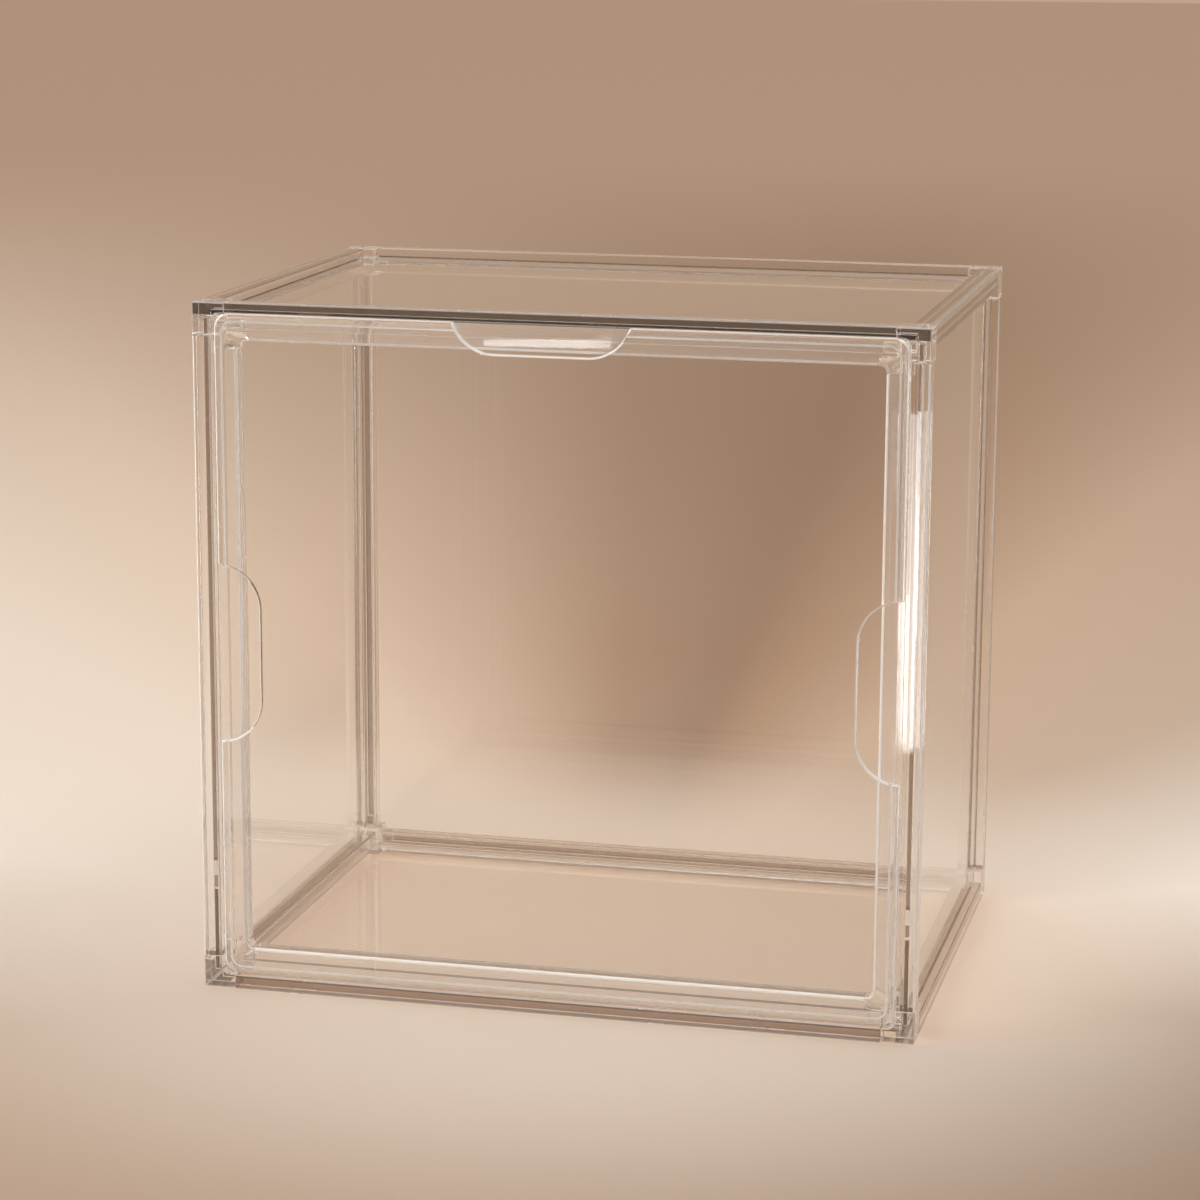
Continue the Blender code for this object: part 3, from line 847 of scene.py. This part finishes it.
    def ledge_cut(self, tree: NodeTree, given: NodeOutputs, solid: Node) -> Node:
        """Adds the nodes that cut the ledge back at both ends, where the bar has one.

        Args:
            tree: The tree.
            given: What its inputs give.
            solid: The node that gives the uncut solid.

        Returns:
            The node that gives the bar.
        """
        wide, shift = (maths(tree, "MULTIPLY", given["Ledge Start"], share)
                       for share in (self.cut_side, self.cut_middle))
        blocks = []
        for cut, end in (("Low Cut", 0.0), ("High Cut", given["Length"])):
            double = maths(tree, "MULTIPLY", given[cut], 2.0)
            size = add(tree, "ShaderNodeCombineXYZ", {"X": wide, "Y": wide, "Z": double})
            block = add(tree, "GeometryNodeMeshCube", {"Size": size})
            there = add(tree, "ShaderNodeCombineXYZ", {"X": shift, "Z": end})
            blocks.append(add(tree, "GeometryNodeTransform", {"Geometry": block, "Translation": there}))
        trimmed = add(tree, "GeometryNodeMeshBoolean", {"Mesh 1": solid, "Mesh 2": blocks},
                      operation="DIFFERENCE", solver="EXACT")
        return add(tree, "GeometryNodeSwitch", {
            "Switch": given["Has Ledge"], "False": solid, "True": trimmed}, input_type="GEOMETRY")


@dataclass
class Connectors(Assembly):
    """The eight corner connectors, with their pegs, slots and rounded ledge corners.

    Attributes:
        edge_radius: Radius of their softened edges.
        side_end: Distance from the box's side at which a ledge corner ends.
        level_ends: Distances from the box's bottom and top at which a ledge corner ends.
        tail_side: Distance from the box's outer faces of the sides of a ledge corner's arms.
        dark_height: Height below the box's top of the faces painted dark as shade round a panel's corner.
        dark_depths: Least and greatest distance of those faces behind the box's front.
    """

    edge_radius: float = 0.00035
    side_end: float = 0.0236
    level_ends: tuple[float, float] = (0.0228, 0.0214)
    tail_side: float = 0.0143
    dark_height: float = 0.007
    dark_depths: tuple[float, float] = (0.006, 0.0165)

    def build(self, material: Material) -> None:
        """Builds every connector.

        Args:
            material: Their material.
        """
        for name, node in self.nodes.items():
            if name.startswith("corner_"):
                skin = self.moulder.copied_skin(node)
                is_front = "front" in name
                if is_front:
                    self.mark_joints(skin)
                    self.mark_ledge_edges(skin)
                # Connector edges get the dimmer painted highlight.
                piece = self.moulder.settle(skin, name + "_connector", material, self.edge_radius,
                                            edge_kind=Face.FAINT)
                if is_front:
                    self.paint_ledge_highlight(piece.data)
                present(piece, "frame", name)

    def is_on_ledge(self, place: Vector) -> bool:
        """Tells whether a place across the front lies on or inside the inner walls of a ledge corner."""
        reach = self.part.side_ledge
        side = min(place.x - self.low.x, self.high.x - place.x)
        heights = (place.z - self.low.z, self.high.z - place.z)
        return side > reach - self.reading and any(
            0 <= height - ledge + self.reading < reach
            for height, ledge in zip(heights, self.part.level_ledges))

    def paint_ledge_highlight(self, mesh: Mesh) -> None:
        """Gives the rounded front edge of a ledge corner the painted highlight of the bars' ledges.

        Args:
            mesh: The finished mesh.
        """
        radius = self.part.ledge_fillet
        for face in mesh.polygons:
            inside = face.center + Vector((math.copysign(radius, -face.center.x), 0.0, 0.0))
            inside.z += math.copysign(radius, self.low.z + self.high.z - 2 * inside.z)
            depth = face.center.y - self.low.y - self.part.rebate_depth
            if face.material_index == Face.FAINT.value and 0 < depth < radius and self.is_on_ledge(inside):
                face.material_index = Face.RUBBED.value

    def mark_joints(self, skin: BMesh) -> None:
        """Marks a ledge corner's pressed ends, the painted sheen on its front and the faces painted dark as
        shade.

        Args:
            skin: The rough skin.
        """
        bmesh.ops.bisect_plane(skin, geom=skin.verts[:] + skin.edges[:] + skin.faces[:],
                               plane_co=(0.0, 0.0, self.high.z - self.dark_height), plane_no=(0.0, 0.0, 1.0))
        for face in skin.faces:
            middle = face.calc_center_median()
            side = min(middle.x - self.low.x, self.high.x - middle.x)
            low, high = middle.z - self.low.z, self.high.z - middle.z
            behind = middle.y - self.low.y
            ends = ((0, side, self.side_end), (2, low, self.level_ends[0]), (2, high, self.level_ends[1]),
                    (0, side, self.tail_side), (2, low, self.tail_side), (2, high, self.tail_side))
            if any(looks_along(face, axis) and self.is_at(distance, end) for axis, distance, end in ends):
                face.material_index = Face.JOINED.value
            # Whitish painted sheen on the ledge corner's front.
            elif looks_along(face, 1) and self.is_at(behind, self.part.rebate_depth):
                face.material_index = Face.CLOUDED.value
            # Near-black painted shade round the top panel's corner.
            elif looks_along(face, 1) and (high < self.dark_height
                                           and self.dark_depths[0] < behind < self.dark_depths[1]):
                face.material_index = Face.DEEP.value

    def mark_ledge_edges(self, skin: BMesh) -> None:
        """Gives the edges of a ledge corner's inner wall the radii of the bars' ledges.

        Args:
            skin: The rough skin.
        """
        part = self.part
        radii = skin.edges.layers.float.new("radius")
        for edge in skin.edges:
            inner = self.is_on_ledge((edge.verts[0].co + edge.verts[1].co) / 2)
            for behind, radius in ((part.rebate_depth, part.ledge_fillet), (part.section, part.inner_fillet)):
                if inner and all(self.is_at(vert.co.y - self.low.y, behind) for vert in edge.verts):
                    edge[radii] = radius


@dataclass
class FrontDoor(Assembly):
    """The door plate with its sloped rim, finger cut-outs and friction ribs.

    Attributes:
        wall_tilt: Largest part of a normal towards the front for the wall of a cut-out.
        back_tilt: Largest part of a normal towards the back for that wall and its back edge.
        flat_tilt: Largest part of a normal towards the front for the plate's front edge.
        edge_depth: Depth of that edge behind the door's front.
        cut_reach: Distance from the door's outline past which such a wall belongs to a cut-out.
    """

    wall_tilt: float = 0.2
    back_tilt: float = 0.95
    flat_tilt: float = 0.985
    edge_depth: float = 0.0002
    cut_reach: float = 0.001

    def build(self, material: Material) -> None:
        """Builds the door.

        Args:
            material: Its material.
        """
        piece = self.moulder.settle(self.moulder.copied_skin(self.nodes["door"]), "door_plate", material)
        self.shade_cuts(piece.data)
        present(piece, "door", "door")

    def shade_cuts(self, mesh: Mesh) -> None:
        """Paints shade on left-facing cut-out edges, highlights on the others, dimmer ones on level outer
        edges.

        Args:
            mesh: The finished mesh.
        """
        low = [min(vert.co[axis] for vert in mesh.vertices) for axis in range(3)]
        high = [max(vert.co[axis] for vert in mesh.vertices) for axis in range(3)]
        for face in mesh.polygons:
            inward = min(min(face.center[axis] - low[axis], high[axis] - face.center[axis])
                         for axis in (0, 2))
            is_level = abs(face.normal.z) > abs(face.normal.x)
            is_wall = inward > self.cut_reach and -self.wall_tilt < face.normal.y < self.back_tilt
            is_edge = face.center.y - low[1] < self.edge_depth and abs(face.normal.y) < self.flat_tilt
            # Painted shade on cut-out edges that face left, painted highlight on the rest.
            if is_wall or is_edge:
                kind = Face.SHADED if face.normal.x < -self.wall_tilt else Face.RUBBED
                face.material_index = kind.value
            elif face.material_index == Face.RUBBED.value and is_level and inward < self.cut_reach:
                face.material_index = Face.FAINT.value


class Sheets(Assembly):
    """The five clear sheets, which keep the frame's own shapes."""

    def build(self, material: Material) -> None:
        """Dresses every sheet.

        Args:
            material: Their material.
        """
        for name, node in self.nodes.items():
            if name.startswith("panel_"):
                node.data.materials.clear()
                node.data.materials.append(material)
                log.info("%s: dressed", name)


@dataclass(frozen=True)
class Lamp:
    """A soft rectangular lamp.

    Attributes:
        name: Its name.
        place: Its place.
        size: Its width and height.
        watts: Its power.
        aim: The point that it faces.
        spread_degrees: Width of its beam, if it shows in clear plastic alone.
        seen_through: Whether such a beam also shows through the plastic.
    """

    name: str
    place: Place
    size: tuple[float, float]
    watts: float
    aim: Place = (0.0, 0.0, 0.16)
    spread_degrees: float | None = None
    seen_through: bool = True

    def hang(self) -> None:
        """Makes the lamp, unseen by the camera itself."""
        data = bpy.data.lights.new(self.name, "AREA")
        data.shape = "RECTANGLE"
        data.size, data.size_y = self.size
        data.energy = self.watts
        lamp = new_object(self.name, data)
        lamp.location = self.place
        lamp.rotation_mode = "QUATERNION"
        lamp.rotation_quaternion = (Vector(self.aim) - Vector(self.place)).to_track_quat("-Z", "Y")
        lamp.visible_camera = False
        if self.spread_degrees:
            data.spread = math.radians(self.spread_degrees)
            lamp.visible_diffuse = False
            lamp.visible_transmission = self.seen_through


LAMPS = (
    Lamp("window", (-1.9, -0.9, 1.6), (1.2, 1.4), 24.0),
    Lamp("overhead", (0.3, 0.3, 2.2), (1.6, 1.0), 10.0),
    Lamp("post_streak", (0.083, -0.66, 0.072), (0.014, 0.26), 0.00145, (0.2087, -0.12, 0.194), 17.0),
    Lamp("grip_glow", (-0.144, -0.66, 0.234), (0.078, 0.0082), 0.00028, (-0.008, -0.1175, 0.3115), 24.0,
         seen_through=False),
    Lamp("left_edge", (-0.56, -0.25, 0.125), (0.06, 0.25), 0.06, (-0.15, -0.12, 0.21), 40.0),
    Lamp("right_edge", (0.56, -0.25, 0.125), (0.06, 0.25), 0.06, (0.15, -0.12, 0.21), 40.0),
)


@dataclass
class Studio:
    """Camera, floor, lamps and surroundings.

    Attributes:
        lens: Focal length in millimetres.
        sensor: Width of the sensor in millimetres.
        eye: Place of the camera.
        yaw_degrees: Turn of the camera to the left.
        pitch_degrees: Tilt of the camera below the horizon.
        roll_degrees: Turn of the camera about its own line of sight.
        floor_radius: Radius of the floor.
        floor_drop: Room between the floor and the box.
        floor_sides: Sides of the floor's outline.
        floor_roughness: Roughness of the floor.
        floor_colour: Floor beside the box, a painted pool of light.
        distant_colour: Floor near the horizon.
        near_change: Distances at which the floor's colour starts to change, and has changed.
        distant_change: The same for its change towards the distant colour.
        air_colour: Colour of the soft light from all round.
        air_strength: Strength of that light.
        horizon_colour: Colour past the floor, for the camera.
        bounces: Most bounces of light in all, and most passes through a surface.
        glossy_bounces: Most reflections.
        shadow_surfaces: Most surfaces that a lamp's light passes on its way.
    """

    lens: float = 103.494
    sensor: float = 36.0
    eye: Place = (0.38024, -1.60079, 0.5244)
    yaw_degrees: float = 13.6015
    pitch_degrees: float = 12.096
    roll_degrees: float = 0.2885
    floor_radius: float = 12.0
    floor_drop: float = 0.0002
    floor_sides: int = 96
    floor_roughness: float = 0.9
    floor_colour: Colour = (0.775, 0.65, 0.55)
    distant_colour: Colour = (0.7, 0.46, 0.31)
    near_change: tuple[float, float] = (0.14, 0.45)
    distant_change: tuple[float, float] = (1.3, 5.0)
    air_colour: Colour = (1.0, 0.97, 0.93)
    air_strength: float = 0.6
    horizon_colour: Colour = (0.53, 0.365, 0.255)
    bounces: int = 48
    glossy_bounces: int = 32
    shadow_surfaces: int = 32

    def build(self) -> None:
        """Builds the whole studio."""
        self.place_camera()
        self.lay_floor()
        self.surround()
        for lamp in LAMPS:
            lamp.hang()
        self.set_light_paths()

    def place_camera(self) -> None:
        """Makes the camera at the photograph's viewing angle."""
        data = bpy.data.cameras.new("camera")
        data.lens = self.lens
        data.sensor_width = self.sensor
        data.sensor_fit = "HORIZONTAL"
        camera = new_object("camera", data)
        turn = Matrix.Rotation(math.radians(self.yaw_degrees), 4, "Z")
        tilt = Matrix.Rotation(math.radians(90 - self.pitch_degrees), 4, "X")
        roll = Matrix.Rotation(math.radians(self.roll_degrees), 4, "Z")
        camera.matrix_world = Matrix.Translation(self.eye) @ turn @ tilt @ roll
        bpy.context.scene.camera = camera

    def lay_floor(self) -> None:
        """Makes the pale floor."""
        disc = bmesh.new()
        bmesh.ops.create_circle(disc, cap_ends=True, segments=self.floor_sides, radius=self.floor_radius)
        bmesh.ops.translate(disc, verts=disc.verts, vec=(0, 0, -self.floor_drop))
        mesh = bpy.data.meshes.new("floor")
        disc.to_mesh(mesh)
        disc.free()
        floor = new_object("floor", mesh)
        mesh.materials.append(self.floor_paper())
        floor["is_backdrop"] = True

    def floor_paper(self) -> Material:
        """Builds the floor's material, painting a pool of light by the box and light and shade by direction.

        Returns:
            The material.
        """
        material = bpy.data.materials.new("floor_paper")
        material.use_nodes = True
        tree = material.node_tree
        place = add(tree, "ShaderNodeTexCoord").outputs["Object"]
        away = add(tree, "ShaderNodeVectorMath", {0: place}, operation="LENGTH")
        near, distant = (
            add(tree, "ShaderNodeMapRange", {"Value": away, "From Min": start, "From Max": end},
                interpolation_type="SMOOTHSTEP")
            for start, end in (self.near_change, self.distant_change))
        parts = add(tree, "ShaderNodeSeparateXYZ", {"Vector": place}).outputs
        turn = maths(tree, "ARCTAN2", parts["X"], parts["Y"])
        part = add(tree, "ShaderNodeMapRange", {"Value": turn, "From Min": -math.pi, "From Max": math.pi})
        stops = [((stop.value[0] + 180.0) / 360.0, stop.value[1]) for stop in PaintedFloorLight]
        around = colour_ramp(tree, part, stops)
        blend = add(tree, "ShaderNodeMix", {
            "Factor": near, "A": (*self.floor_colour, 1.0), "B": around}, data_type="RGBA")
        colour = add(tree, "ShaderNodeMix", {
            "Factor": distant, "A": blend, "B": (*self.distant_colour, 1.0)}, data_type="RGBA")
        paper = tree.nodes["Principled BSDF"]
        paper.inputs["Roughness"].default_value = self.floor_roughness
        tree.links.new(colour.outputs["Result"], paper.inputs["Base Color"])
        return material

    def surround(self) -> None:
        """Makes the soft light from all round, and the surroundings that clear plastic shows."""
        world = bpy.data.worlds.new("studio")
        bpy.context.scene.world = world
        world.use_nodes = True
        tree = world.node_tree
        tree.nodes.clear()
        place = add(tree, "ShaderNodeTexCoord").outputs["Generated"]
        height = add(tree, "ShaderNodeSeparateXYZ", {"Vector": place}).outputs["Z"]
        above = colour_ramp(tree, height, [stop.value for stop in Above])
        shown = add(tree, "ShaderNodeBackground", {"Color": above})
        soft = add(tree, "ShaderNodeBackground", {
            "Color": (*self.air_colour, 1.0), "Strength": self.air_strength})
        seen = add(tree, "ShaderNodeBackground", {"Color": (*self.horizon_colour, 1.0)})
        ray = add(tree, "ShaderNodeLightPath").outputs
        either = maths(tree, "MAXIMUM", ray["Is Transmission Ray"], ray["Is Glossy Ray"])
        clear = add(tree, "ShaderNodeMixShader", {"Fac": either, 1: soft, 2: shown})
        final = add(tree, "ShaderNodeMixShader", {"Fac": ray["Is Camera Ray"], 1: clear, 2: seen})
        add(tree, "ShaderNodeOutputWorld", {"Surface": final})

    def set_light_paths(self) -> None:
        """Lets light pass as many surfaces as stand behind each other in the box."""
        cycles = bpy.context.scene.cycles
        cycles.max_bounces = self.bounces
        cycles.transmission_bounces = self.bounces
        cycles.glossy_bounces = self.glossy_bounces
        cycles.transparent_max_bounces = self.shadow_surfaces
        bpy.context.scene.view_settings.view_transform = "Standard"


def main() -> None:
    """Builds the studio and every piece of the box."""
    logging.basicConfig(level=logging.INFO, format="%(name)s: %(message)s")
    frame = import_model()
    cad_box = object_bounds()
    Studio().build()
    shop = Workshop()
    moulder = Moulder([shop.dress(finish) for finish in FACE_FINISHES.values()])
    rails = {run: shop.dress(finish) for run, finish in RAIL_FINISHES.items()}
    given = (Vector(cad_box[0]), Vector(cad_box[1]), moulder, frame["nodes"])
    Bars(*given).build(rails)
    Connectors(*given).build(shop.dress(CONNECTOR_FINISH))
    Sheets(*given).build(shop.dress(SHEET_FINISH))
    FrontDoor(*given).build(shop.dress(DOOR_FINISH))


if __name__ == "__main__":
    main()
